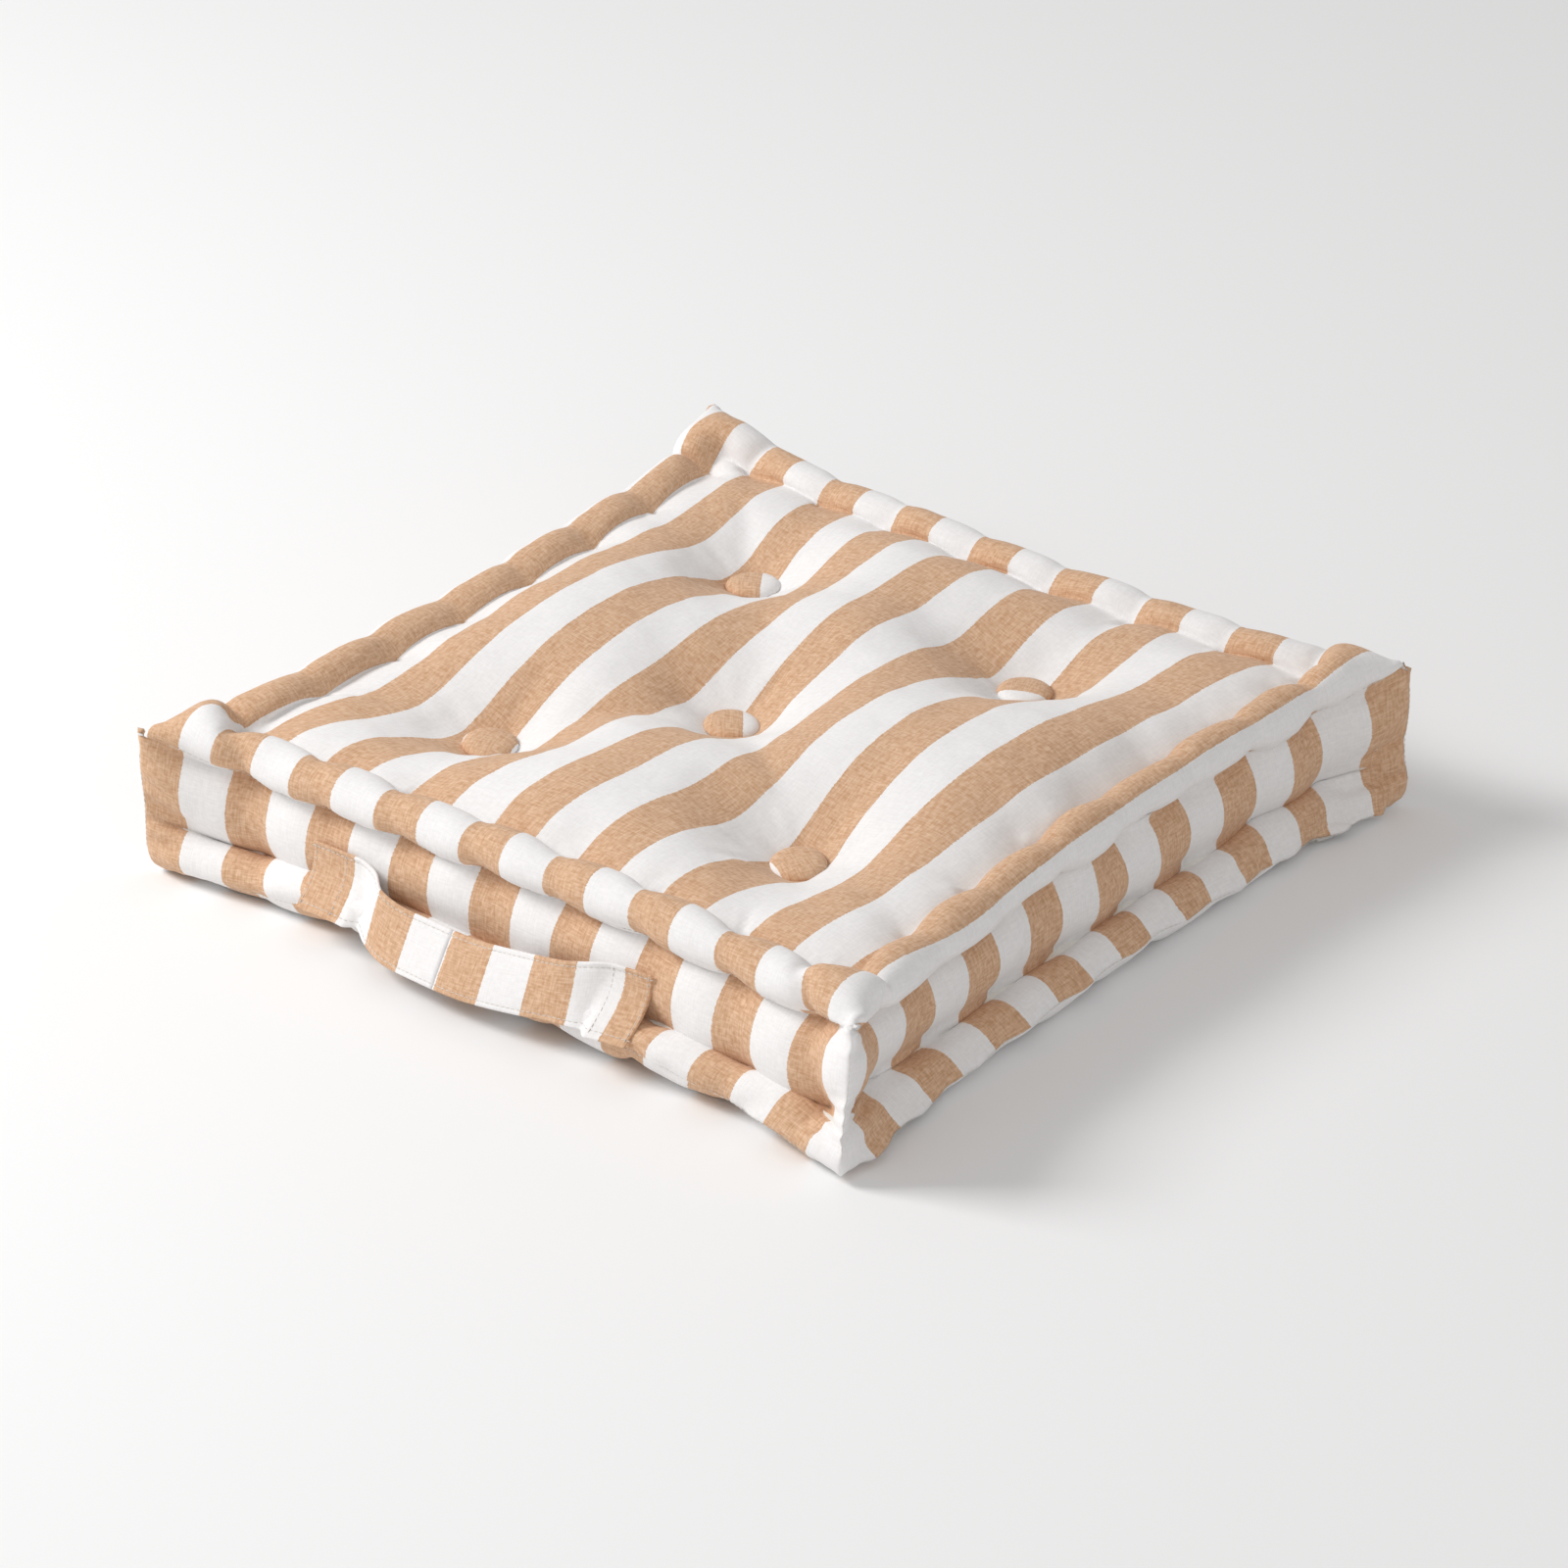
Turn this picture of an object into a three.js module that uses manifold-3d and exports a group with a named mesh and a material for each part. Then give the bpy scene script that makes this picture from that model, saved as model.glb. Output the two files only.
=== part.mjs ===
// A square floor cushion: striped cloth panels, rolled edges, five through tufts with covered
// buttons, and a carry handle on the front. Millimetres, +Z up, the floor at z = 0, the handle
// on the -Y side, the origin under the middle of the cushion.
import * as THREE from "three";
import { mergeVertices } from "three/addons/utils/BufferGeometryUtils.js";
import Module from "manifold-3d";

const wasm = await Module();
wasm.setup();

// Driving dimensions
const side = 450;
const height = 90;
const half = side / 2;
const bowIn = 10; // how far the middle of each edge is drawn in
const cloth = 1.2;
const gap = 0.3; // kept between pieces that touch
const seamGap = 0.4;
const sidesRound = 24; // facets round the cushion, six to a side

// The two edge rolls, as seen in a cut across one side: d is the distance out from the middle
const topRoll = { d: half - 13.5, z: height - 13.5, out: 13.5, up: 13.5 };
const bottomRoll = { d: half - 14, z: 9.8, out: 13, up: 9.8 };
const crownHeight = 88;
const pinchDepth = 207;
const bulge = { d: half - 6, z: 41 };
const topSeam = -50; // degrees round the top roll, at its lower outer side
const bottomSeam = -20;

// Tufts: where each twine goes through, placed by hand as on a hand-tufted cushion
const tufts = {
  front_left: [-101, -105],
  front_right: [93.5, -102],
  centre: [-19, -15],
  back_left: [-103.5, 107],
  back_right: [75, 104],
};
const topWell = { floor: 63, radius: 56 };
const bottomWell = { floor: 13, radius: 40 };
const buttonRadius = 14.25;
const buttonHeight = 7;
const twineRadius = 0.7;
const wireRadius = 0.6;
const eyeRadius = 2.6;
const needleHole = 3.7;

// Handle strap: cloth folded to a band, its ends stitched to the front
const strap = {
  width: 31,
  thick: 2,
  leftEnd: [-126, -104.5],
  loop: [-104, 66],
  rightEnd: [66.5, 89],
  middle: 33.5,
  standOff: 13,
  droop: 11,
  lean: 0.34, // radians that the lower edge swings out at the middle
};

const degrees = Math.PI / 180;

// ---- Solids -------------------------------------------------------------------------------

// A three.js geometry as a manifold-3d solid.
function solid(geometry) {
  const plain = geometry.index ? geometry.toNonIndexed() : geometry.clone();
  plain.deleteAttribute("normal");
  plain.deleteAttribute("uv");
  const merged = mergeVertices(plain, 1e-4);
  const mesh = new wasm.Mesh({
    numProp: 3,
    vertProperties: merged.attributes.position.array,
    triVerts: new Uint32Array(merged.index.array),
  });
  return new wasm.Manifold(mesh);
}

// A solid back as a three.js geometry with flat facets.
function geometryOf(body) {
  const mesh = body.getMesh();
  const geometry = new THREE.BufferGeometry();
  geometry.setAttribute("position", new THREE.BufferAttribute(mesh.vertProperties, 3));
  geometry.setIndex(new THREE.BufferAttribute(mesh.triVerts, 1));
  const flat = geometry.toNonIndexed();
  flat.computeVertexNormals();
  return flat;
}

// Points on an ellipse of an edge roll, from one angle to another, in degrees.
function rollArc(roll, from, to, steps, inset = 0) {
  const points = [];
  for (let i = 0; i <= steps; i++) {
    const angle = (from + ((to - from) * i) / steps) * degrees;
    const d = roll.d + (roll.out - inset) * Math.cos(angle);
    const z = roll.z + (roll.up - inset) * Math.sin(angle);
    points.push(new THREE.Vector2(d, z));
  }
  return points;
}

// The angle at which a roll meets the pinch line under or over it.
function pinchAngle(roll, sign) {
  return (sign * Math.acos((pinchDepth - roll.d) / roll.out)) / degrees;
}

// The whole outline of the cushion in a cut, from the middle of the bottom to the middle of the top.
function outline() {
  const low = rollArc(bottomRoll, -172, pinchAngle(bottomRoll, 1), 7);
  const high = rollArc(topRoll, pinchAngle(topRoll, -1), 176, 8);
  const under = low[low.length - 1];
  const over = high[0];
  const belly = [];
  for (let i = 1; i < 5; i++) {
    const t = i / 5;
    const d = pinchDepth + (bulge.d - pinchDepth) * Math.sin(Math.PI * t) ** 0.8;
    belly.push(new THREE.Vector2(d, under.y + (over.y - under.y) * t));
  }
  const flat = [new THREE.Vector2(0, 0), new THREE.Vector2(186, 0)];
  const crown = [
    new THREE.Vector2(185, 83.5),
    new THREE.Vector2(165, 87),
    new THREE.Vector2(135, crownHeight),
    new THREE.Vector2(0, crownHeight),
  ];
  return [...flat, ...low, ...belly, ...high, ...crown];
}

// The same outline, moved in by a distance, with its ends kept on the axis.
function inset(points, distance) {
  return points.map((point, i) => {
    const before = points[Math.max(i - 1, 0)];
    const after = points[Math.min(i + 1, points.length - 1)];
    const a = point.clone().sub(i ? before : new THREE.Vector2(1, point.y)).normalize();
    const b = after.clone().sub(point).normalize();
    if (i === 0) return new THREE.Vector2(0, point.y + distance);
    if (i === points.length - 1) return new THREE.Vector2(0, point.y - distance);
    const normal = new THREE.Vector2(-a.y - b.y, a.x + b.x).normalize();
    const stretch = 1 / Math.max(0.6, normal.dot(new THREE.Vector2(-a.y, a.x)));
    return point.clone().addScaledVector(normal, distance * stretch);
  });
}

// A profile carried round a square instead of a circle, then drawn in along each edge.
function squareLathe(profile) {
  const round = new THREE.LatheGeometry(profile, sidesRound);
  round.rotateX(Math.PI / 2);
  const place = round.attributes.position;
  for (let i = 0; i < place.count; i++) {
    const x = place.getX(i);
    const y = place.getY(i);
    const reach = Math.max(Math.abs(x), Math.abs(y));
    const grow = reach > 0 ? Math.hypot(x, y) / reach : 1;
    const [bx, by] = drawnIn(x * grow, y * grow);
    place.setXY(i, bx, by);
  }
  const made = solid(round);
  return made.volume() < 0 ? solid(reversed(round)) : made;
}

// The pincushion plan: nothing moves at the corners, the middle of each edge moves most.
function drawnIn(x, y) {
  const pull = bowIn / half;
  return [x * (1 - pull * (1 - (y / half) ** 2)), y * (1 - pull * (1 - (x / half) ** 2))];
}

// The same geometry with every triangle turned round.
function reversed(geometry) {
  const flat = geometry.toNonIndexed();
  const place = flat.attributes.position;
  for (let i = 0; i < place.count; i += 3) {
    const [x, y, z] = [place.getX(i), place.getY(i), place.getZ(i)];
    place.setXYZ(i, place.getX(i + 1), place.getY(i + 1), place.getZ(i + 1));
    place.setXYZ(i + 1, x, y, z);
  }
  return flat;
}

// A body turned about +Z from a profile of [radius, height] pairs that starts and ends on the axis.
function turned(pairs, segments = 12) {
  const profile = pairs.map(([radius, z]) => new THREE.Vector2(radius, z));
  const round = new THREE.LatheGeometry(profile, segments);
  round.rotateX(Math.PI / 2);
  const made = solid(round);
  return made.volume() < 0 ? solid(reversed(round)) : made;
}

function cylinder(radius, from, to, segments = 12) {
  const shape = new THREE.CylinderGeometry(radius, radius, to - from, segments);
  shape.rotateX(Math.PI / 2);
  shape.translate(0, 0, (from + to) / 2);
  return solid(shape);
}

function block(x0, x1, y0, y1, z0, z1) {
  const shape = new THREE.BoxGeometry(x1 - x0, y1 - y0, z1 - z0);
  shape.translate((x0 + x1) / 2, (y0 + y1) / 2, (z0 + z1) / 2);
  return solid(shape);
}

// A square block about the middle whose edges are drawn in as the cushion's are.
function squareBlock(reach, z0, z1) {
  const corners = [[0, z0], [reach, z0], [reach, z1], [0, z1]];
  return squareLathe(corners.map(([d, z]) => new THREE.Vector2(d, z)));
}

// The quarter of the plan that belongs to one side, a little short of both mitre lines.
function quarter(turn) {
  const reach = 2 * half;
  const shape = new THREE.Shape();
  shape.moveTo(0, -seamGap);
  shape.lineTo(-reach, -reach - seamGap);
  shape.lineTo(reach, -reach - seamGap);
  shape.closePath();
  const prism = new THREE.ExtrudeGeometry(shape, { depth: 2 * height, bevelEnabled: false });
  prism.translate(0, 0, -height / 2);
  prism.rotateZ((turn * Math.PI) / 2);
  return solid(prism);
}

// ---- Cover, filling and edge rolls ------------------------------------------------------------

// The well that a tuft draws into the top or the bottom, grown by a distance.
function well(spec, up, grow) {
  const floor = spec.floor - up * grow;
  const mouth = up > 0 ? crownHeight : 0;
  const depth = mouth - floor;
  const inner = buttonRadius + 1.5 + grow;
  const outer = spec.radius + grow;
  const profile = [[0, floor]];
  const steps = 4;
  for (let i = 0; i <= steps; i++) {
    const t = i / steps;
    const rise = (1 - Math.cos(Math.PI * t * 0.94)) / 2;
    profile.push([inner + (outer - inner) * t, floor + depth * rise]);
  }
  profile.push([outer + 4, mouth + up * 3], [outer + 4, mouth + up * 12], [0, mouth + up * 12]);
  return turned(profile);
}

function cutWells(body, grow) {
  let left = body;
  for (const [x, y] of Object.values(tufts)) {
    left = left.subtract(well(topWell, 1, grow).translate([x, y, 0]));
    left = left.subtract(well(bottomWell, -1, grow).translate([x, y, 0]));
  }
  return left;
}

const skinOutline = outline();
const skinOutside = cutWells(squareLathe(skinOutline), 0);
const skinInside = cutWells(squareLathe(inset(skinOutline, cloth)), cloth);
let needleHoles = null;
for (const [x, y] of Object.values(tufts)) {
  const hole = cylinder(needleHole, -20, height + 20).translate([x, y, 0]);
  needleHoles = needleHoles ? needleHoles.add(hole) : hole;
}
const skin = skinOutside.subtract(skinInside).subtract(needleHoles);

const topSeamHeight = topRoll.z + topRoll.up * Math.sin(topSeam * degrees);
const bottomSeamHeight = bottomRoll.z + bottomRoll.up * Math.sin(bottomSeam * degrees);
const middleBelow = 201; // inside this distance the lower cloth is all bottom panel
const far = 2 * half;

function topPanel() {
  return skin.intersect(block(-far, far, -far, far, topSeamHeight + seamGap / 2, 2 * height))
    .subtract(block(-150, 150, -150, 150, 0, topWell.floor - 5));
}

function bottomPanel() {
  const low = block(-far, far, -far, far, -height, bottomSeamHeight - seamGap / 2);
  return skin.intersect(low.add(squareBlock(middleBelow, -height, height / 2)));
}

function sideRing() {
  const from = bottomSeamHeight + seamGap / 2;
  const band = block(-far, far, -far, far, from, topSeamHeight - seamGap / 2);
  return skin.intersect(band.subtract(squareBlock(middleBelow + seamGap, -height, 2 * height)));
}

function wadding(roll, shrink) {
  const ring = rollArc(roll, 0, 360, 8, shrink);
  ring[ring.length - 1] = ring[0].clone();
  return squareLathe(ring);
}

const rollInset = cloth + gap + 0.7; // clear of the chords of the skin's facets
const topWadding = wadding(topRoll, rollInset);
const bottomWadding = wadding(bottomRoll, rollInset);

// The loose filling: it fills the crown and the side bulge and passes inside the edge rolls.
function filling() {
  const under = cloth + gap + 0.1;
  const profile = [
    [0, under],
    [bottomRoll.d - 27, under],
    [bottomRoll.d - 17.5, bottomRoll.z],
    [bottomRoll.d - 13, bottomRoll.z + 8.2],
    [bottomRoll.d - 9, 22],
    [bulge.d - 6.5, bulge.z - 12.5],
    [bulge.d - 2.5, bulge.z - 4],
    [bulge.d - 2.5, bulge.z + 4],
    [bulge.d - 6.5, bulge.z + 12.2],
    [topRoll.d - 9.5, topRoll.z - 16.5],
    [topRoll.d - 12, topRoll.z - 10.5],
    [topRoll.d - 16, topRoll.z - 1.7],
    [topRoll.d - 27.2, crownHeight - 6.1],
    [topRoll.d - 47, crownHeight - 2.6],
    [topRoll.d - 76.6, crownHeight - under],
    [0, crownHeight - under],
  ];
  const loaf = squareLathe(profile.map(([d, z]) => new THREE.Vector2(d, z)));
  return cutWells(loaf, cloth + gap).subtract(needleHoles);
}

// ---- Buttons and twines -------------------------------------------------------------------------

// Covered button, its back at height 0 and its dome up.
function buttonCover() {
  const top = buttonHeight;
  return turned([
    [0, top],
    [8, top - 0.5],
    [12.6, top - 2.2],
    [buttonRadius, 2.4],
    [13.4, 0.3],
    [12, 0],
    [9, 0],
    [9, 1],
    [12.4, 1.2],
    [13.1, 2.4],
    [11.8, top - 3],
    [7.6, top - 1.5],
    [0, top - 1],
  ]);
}

const eyeBottom = 0.2; // height of the middle of the wire that the twine pulls on

function buttonForm() {
  const top = buttonHeight - 1 - gap;
  const back = eyeBottom + wireRadius + 2 * twineRadius + 2 * gap;
  const disc = turned([
    [0, top],
    [7.4, top - 0.5],
    [11.4, top - 2],
    [12.2, back],
    [0, back],
  ]);
  const ring = new THREE.TorusGeometry(eyeRadius, wireRadius, 5, 10);
  ring.rotateX(Math.PI / 2);
  ring.translate(0, 0, eyeBottom + eyeRadius);
  return disc.add(solid(ring));
}

// A closed loop of twine: up from the knot, over the wire of the top eye, down the other strand,
// round the wire of the bottom eye and back to the knot.
class TwineLoop extends THREE.Curve {
  constructor(knot, top, bottom) {
    super();
    const reach = wireRadius + twineRadius + gap;
    this.points = [[reach, knot + 0.2]];
    for (const [height, up] of [[top, 1], [bottom, -1]]) {
      for (let i = 0; i <= 6; i++) {
        const angle = (i * Math.PI) / 6;
        this.points.push([up * reach * Math.cos(angle), height + up * reach * Math.sin(angle)]);
      }
    }
    this.points.push([reach, knot - 0.2]);
  }

  getUtoTmapping(u) {
    return u;
  }

  getPoint(t, target = new THREE.Vector3()) {
    const place = t * (this.points.length - 1);
    const i = Math.min(Math.floor(place), this.points.length - 2);
    const [a, b] = [this.points[i], this.points[i + 1]];
    return target.set(0, a[0] + (b[0] - a[0]) * (place - i), a[1] + (b[1] - a[1]) * (place - i));
  }
}

function twine() {
  const round = new THREE.Shape();
  round.absarc(0, 0, twineRadius, 0, 2 * Math.PI);
  const top = topWell.floor + gap + eyeBottom;
  const bottom = bottomWell.floor - gap - eyeBottom;
  const height = bottom + 9;
  const path = new TwineLoop(height, top, bottom);
  const steps = path.points.length - 1;
  const tube = new THREE.ExtrudeGeometry(round, { steps, extrudePath: path, curveSegments: 3 });
  const knot = solid(new THREE.IcosahedronGeometry(1.9, 0));
  return solid(tube).add(knot.translate([0, path.points[0][0], height]));
}

// ---- Handle -----------------------------------------------------------------------------------

// How far out the front of the side bulge stands at a place along X.
function frontAt(x) {
  return -drawnIn(x, -(bulge.d + gap + 0.6))[1];
}

// A band along X on the front, bent from a box: share is 0 at the stitched ends, 1 in mid-loop.
function band(from, to, share, steps) {
  const box = new THREE.BoxGeometry(1, 1, 1, steps, 1, 2);
  const place = box.attributes.position;
  for (let i = 0; i < place.count; i++) {
    const t = place.getX(i) + 0.5;
    const x = from + (to - from) * t;
    const loose = share(t);
    const lean = strap.lean * loose;
    const across = place.getZ(i) * strap.width;
    const out = (0.5 - place.getY(i)) * strap.thick;
    const middle = strap.middle - strap.droop * loose;
    const y = frontAt(x) + strap.standOff * loose + out * Math.cos(lean) - across * Math.sin(lean);
    const z = middle + across * Math.cos(lean) + out * Math.sin(lean);
    place.setXYZ(i, x, -y, z);
  }
  return solid(box);
}

// The loop hangs most a little left of its middle, where the band has folded over.
function looseness(t) {
  return Math.sin(Math.PI * t ** 0.85) ** 1.4;
}

// ---- Assembly ------------------------------------------------------------------------------

const cushion = new THREE.Group();
const looks = {
  cloth: { color: 0xdfb591, roughness: 0.95, metalness: 0 },
  pale: { color: 0xf3eee8, roughness: 0.95, metalness: 0 },
  fibre: { color: 0xf4f0e6, roughness: 1, metalness: 0 },
  metal: { color: 0xb9bcc0, roughness: 0.35, metalness: 0.9 },
  twine: { color: 0xe6dcc6, roughness: 0.9, metalness: 0 },
};

function add(name, body, look) {
  const mesh = new THREE.Mesh(geometryOf(body), new THREE.MeshStandardMaterial(looks[look]));
  mesh.name = name;
  cushion.add(mesh);
  return mesh;
}

add("top_panel", topPanel(), "cloth");
add("bottom_panel", bottomPanel(), "cloth");
add("filling_core", filling(), "fibre");

const ring = sideRing();
for (const [turn, place] of ["front", "right", "back", "left"].entries()) {
  const part = quarter(turn);
  add("side_panel_" + place, ring.intersect(part), "cloth");
  add("top_roll_wadding_" + place, topWadding.intersect(part), "fibre");
  add("bottom_roll_wadding_" + place, bottomWadding.intersect(part), "fibre");
}

for (const [place, [x, y]] of Object.entries(tufts)) {
  const top = topWell.floor + gap;
  const bottom = bottomWell.floor - gap;
  const cover = buttonCover();
  const form = buttonForm();
  add("top_button_cover_" + place, cover.translate([x, y, top]), "cloth");
  add("top_button_form_" + place, form.translate([x, y, top]), "metal");
  const under = [x, y, bottom];
  add("bottom_button_cover_" + place, cover.rotate([180, 0, 0]).translate(under), "cloth");
  add("bottom_button_form_" + place, form.rotate([180, 0, 0]).translate(under), "metal");
  add("tufting_twine_" + place, twine().translate([x, y, 0]), "twine");
}

add("handle_end_left", band(...strap.leftEnd, () => 0, 3), "cloth");
add("handle_strap", band(...strap.loop, looseness, 20), "pale");
add("handle_end_right", band(...strap.rightEnd, () => 0, 3), "cloth");

export default cushion;
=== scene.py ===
import math

import bmesh
import bpy
import numpy as np
from mathutils import Matrix, Vector
from mathutils.bvhtree import BVHTree


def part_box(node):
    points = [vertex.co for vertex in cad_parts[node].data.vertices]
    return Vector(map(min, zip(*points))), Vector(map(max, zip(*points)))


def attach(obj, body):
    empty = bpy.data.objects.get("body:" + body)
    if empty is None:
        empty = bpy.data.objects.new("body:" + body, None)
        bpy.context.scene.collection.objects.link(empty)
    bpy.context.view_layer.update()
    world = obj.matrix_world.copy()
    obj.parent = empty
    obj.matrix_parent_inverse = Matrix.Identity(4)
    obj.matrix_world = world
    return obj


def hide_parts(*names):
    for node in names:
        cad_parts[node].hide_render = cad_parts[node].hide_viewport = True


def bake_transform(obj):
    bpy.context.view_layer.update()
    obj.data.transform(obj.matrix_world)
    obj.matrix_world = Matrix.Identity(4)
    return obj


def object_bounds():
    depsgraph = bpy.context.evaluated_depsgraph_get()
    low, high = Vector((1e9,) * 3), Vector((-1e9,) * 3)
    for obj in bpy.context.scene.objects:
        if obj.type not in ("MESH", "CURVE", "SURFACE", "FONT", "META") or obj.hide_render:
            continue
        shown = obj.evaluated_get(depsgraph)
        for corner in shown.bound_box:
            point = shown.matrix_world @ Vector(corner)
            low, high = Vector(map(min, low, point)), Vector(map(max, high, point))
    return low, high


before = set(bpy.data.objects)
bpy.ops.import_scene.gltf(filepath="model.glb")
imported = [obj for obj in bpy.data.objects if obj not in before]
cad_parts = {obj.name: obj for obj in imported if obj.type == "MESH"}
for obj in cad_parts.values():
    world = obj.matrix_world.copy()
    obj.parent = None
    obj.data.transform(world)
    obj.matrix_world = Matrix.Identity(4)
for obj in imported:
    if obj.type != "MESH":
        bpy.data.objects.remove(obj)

cad_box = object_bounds()

# Camera. A long lens looks down on the near corner from the front right, as one looks at a
# cushion lying on a table; the cushion's middle sits a little above the middle of the frame.
camera_azimuth = math.radians(38.7)
camera_elevation = math.radians(29.6)
camera_distance = 4.0
camera_focal_length = 181.85
camera_aside = 0.0022
camera_above = 0.0285

towards = Vector((
    math.sin(camera_azimuth) * math.cos(camera_elevation),
    -math.cos(camera_azimuth) * math.cos(camera_elevation),
    math.sin(camera_elevation),
))
rightwards = Vector((math.cos(camera_azimuth), math.sin(camera_azimuth), 0))
upwards = towards.cross(rightwards)
eye = camera_distance * towards + camera_aside * rightwards + camera_above * upwards
camera_data = bpy.data.cameras.new("camera")
camera_data.lens = camera_focal_length
camera = bpy.data.objects.new("camera", camera_data)
camera.matrix_world = Matrix.Translation(eye) @ Matrix(
    (rightwards, upwards, towards)
).transposed().to_4x4()
bpy.context.scene.collection.objects.link(camera)
bpy.context.scene.camera = camera


# Striped cotton. A plain weave of heathered tan and bleached white yarn in equal stripes, cut
# into every cloth piece; the "cloth" UV map holds metres on the flat cloth, stripes across u.
stripe_width = 0.026
yarn_pitch = 0.00062
tan_yarn = (0.560, 0.320, 0.178, 1)
tan_light_yarn = (0.760, 0.520, 0.350, 1)
white_yarn = (0.830, 0.812, 0.805, 1)
white_light_yarn = (0.900, 0.885, 0.878, 1)
stripe_wander = 0.0012
slub_fineness = {"weft": (120.0, 1150.0, 1.0), "warp": (1150.0, 110.0, 1.0)}


def node(tree, kind, values=(), **settings):
    """A new node with its settings, and its inputs linked or given plain values."""
    made = tree.nodes.new(kind)
    for name, value in settings.items():
        setattr(made, name, value)
    for socket, value in values:
        if isinstance(value, bpy.types.NodeSocket):
            tree.links.new(value, made.inputs[socket])
        else:
            made.inputs[socket].default_value = value
    return made


def maths(tree, operation, first, second=0.0):
    """The outcome of one sum."""
    return node(tree, "ShaderNodeMath", ((0, first), (1, second)), operation=operation).outputs[0]


def blend(tree, share, first, second):
    """From the first colour to the second by the share."""
    values = ((0, share), (6, first), (7, second))
    return node(tree, "ShaderNodeMix", values, data_type="RGBA").outputs[2]


def new_group(name, kind, *sockets):
    """A node group with its sockets, each given as its name, direction and kind."""
    tree = bpy.data.node_groups.new(name, kind)
    for socket, way, holds in sockets:
        tree.interface.new_socket(socket, in_out=way, socket_type="NodeSocket" + holds)
    return tree


def new_material(name, roughness):
    """A material, its node tree and its surface node."""
    made = bpy.data.materials.new(name)
    made.use_nodes = True
    surface = made.node_tree.nodes["Principled BSDF"]
    surface.inputs["Roughness"].default_value = roughness
    return made, made.node_tree, surface


def woven_cotton_group():
    """Stripe mask, heathered yarn value and weave height from a place on the flat cloth."""
    tree = new_group(
        "woven cotton", "ShaderNodeTree", ("Cloth place", "INPUT", "Vector"),
        ("Stripe width", "INPUT", "Float"), ("Yarn pitch", "INPUT", "Float"),
        ("Stripe", "OUTPUT", "Float"), ("Heather", "OUTPUT", "Float"), ("Weave height", "OUTPUT", "Float"),
    )
    given = tree.nodes.new("NodeGroupInput")
    place = given.outputs["Cloth place"]
    parts = node(tree, "ShaderNodeSeparateXYZ", ((0, place),))
    u, v = parts.outputs[0], parts.outputs[1]
    # the yarns wander a little, so a stripe's edge isn't ruled
    wander = node(tree, "ShaderNodeTexNoise", (("Vector", place), ("Scale", 900.0), ("Detail", 1.0)))
    shift = maths(tree, "MULTIPLY", maths(tree, "SUBTRACT", wander.outputs["Fac"], 0.5), stripe_wander)
    two_stripes = maths(tree, "MULTIPLY", given.outputs["Stripe width"], 2.0)
    turn = maths(tree, "FRACT", maths(tree, "DIVIDE", maths(tree, "ADD", u, shift), two_stripes))
    stripe = maths(tree, "LESS_THAN", turn, 0.5)
    # slubs: long thin streaks along each set of yarns
    slubs = []
    for fineness in slub_fineness.values():
        drawn_out = node(
            tree, "ShaderNodeVectorMath", ((0, place), (1, fineness)), operation="MULTIPLY"
        ).outputs[0]
        streaks = node(
            tree, "ShaderNodeTexNoise", (("Vector", drawn_out), ("Scale", 1.0), ("Detail", 2.0))
        )
        slubs.append(streaks.outputs["Fac"])
    cloudy = node(tree, "ShaderNodeTexNoise", (("Vector", place), ("Scale", 420.0), ("Detail", 3.0)))
    both = maths(tree, "ADD", *slubs)
    mixed = maths(tree, "MULTIPLY", maths(tree, "ADD", both, cloudy.outputs["Fac"]), 1 / 3)
    spread = node(
        tree, "ShaderNodeMapRange", ((0, mixed), (1, 0.40), (2, 0.60), (3, 0.0), (4, 1.0))
    )
    # over and under: two crossing waves
    turns = maths(tree, "DIVIDE", 2 * math.pi, given.outputs["Yarn pitch"])
    over = maths(tree, "SINE", maths(tree, "MULTIPLY", u, turns))
    under = maths(tree, "SINE", maths(tree, "MULTIPLY", v, turns))
    weave = maths(tree, "MULTIPLY", maths(tree, "MULTIPLY", over, under), 0.35)
    height = maths(tree, "ADD", maths(tree, "ADD", weave, 0.5), maths(tree, "MULTIPLY", both, 0.6))
    out = tree.nodes.new("NodeGroupOutput")
    tree.links.new(stripe, out.inputs["Stripe"])
    tree.links.new(spread.outputs[0], out.inputs["Heather"])
    tree.links.new(height, out.inputs["Weave height"])
    return tree


woven_cotton = woven_cotton_group()


def striped_cotton_material():
    """The woven cotton in its tan and white, soft and hardly shiny."""
    made, tree, surface = new_material("striped cotton", 0.9)
    place = node(tree, "ShaderNodeUVMap", uv_map="cloth")
    weave = node(tree, "ShaderNodeGroup", node_tree=woven_cotton)
    tree.links.new(place.outputs[0], weave.inputs["Cloth place"])
    weave.inputs["Stripe width"].default_value = stripe_width
    weave.inputs["Yarn pitch"].default_value = yarn_pitch
    heather = weave.outputs["Heather"]
    tan = blend(tree, heather, tan_yarn, tan_light_yarn)
    white = blend(tree, heather, white_yarn, white_light_yarn)
    colour = blend(tree, weave.outputs["Stripe"], white, tan)
    tree.links.new(colour, surface.inputs["Base Color"])
    rough = node(tree, "ShaderNodeMapRange", ((0, heather), (1, 0.0), (2, 1.0), (3, 0.82), (4, 0.94)))
    tree.links.new(rough.outputs[0], surface.inputs["Roughness"])
    bump = node(
        tree, "ShaderNodeBump",
        (("Height", weave.outputs["Weave height"]), ("Strength", 0.35), ("Distance", 0.00018)),
    )
    tree.links.new(bump.outputs[0], surface.inputs["Normal"])
    surface.inputs["Specular IOR Level"].default_value = 0.22
    surface.inputs["Sheen Weight"].default_value = 0.12
    surface.inputs["Sheen Roughness"].default_value = 0.5
    return made


striped_cotton = striped_cotton_material()


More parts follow.
